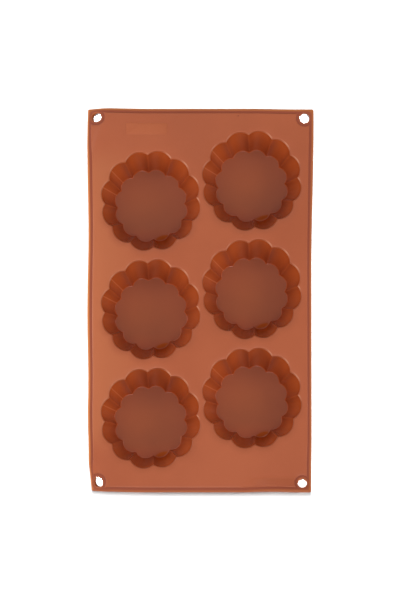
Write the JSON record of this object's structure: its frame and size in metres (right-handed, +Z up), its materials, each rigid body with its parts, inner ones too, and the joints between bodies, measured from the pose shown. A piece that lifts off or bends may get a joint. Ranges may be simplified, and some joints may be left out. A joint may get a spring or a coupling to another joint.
{
  "type": "silicone baking mould sheet",
  "caption": "Flexible silicone baking sheet with tapered fluted cups in staggered columns, a border band, corner hanging holes and a bare label plate.",
  "frame": {"origin": "middle of the sheet, on the surface that the cup bases stand on", "axes": "+X across the two columns of cups, +Y along the columns towards the label plate, +Z up out of the cup mouths"},
  "size_m": [0.175, 0.3, 0.037],
  "materials": {
    "silicone_deck": "satin moulded silicone, terracotta, slightly translucent",
    "silicone_cup": "smooth moulded silicone, terracotta, slightly translucent",
    "silicone_band": "matt moulded silicone, terracotta, slightly translucent",
    "silicone_label": "fine-textured moulded silicone, terracotta, bare"
  },
  "bodies": {
    "root": {"deck_sheet": "silicone_deck", "label_plate": "silicone_label", "border_band": "silicone_band", "corner_eyelet_near_right": "silicone_band", "corner_eyelet_far_right": "silicone_band", "corner_eyelet_far_left": "silicone_band", "corner_eyelet_near_left": "silicone_band", "cup_wall_left_1": "silicone_cup", "cup_wall_left_2": "silicone_cup", "cup_wall_left_3": "silicone_cup", "cup_wall_right_1": "silicone_cup", "cup_wall_right_2": "silicone_cup", "cup_wall_right_3": "silicone_cup", "cup_base_left_1": "silicone_cup", "cup_base_left_2": "silicone_cup", "cup_base_left_3": "silicone_cup", "cup_base_right_1": "silicone_cup", "cup_base_right_2": "silicone_cup", "cup_base_right_3": "silicone_cup"}
  },
  "joints": []
}
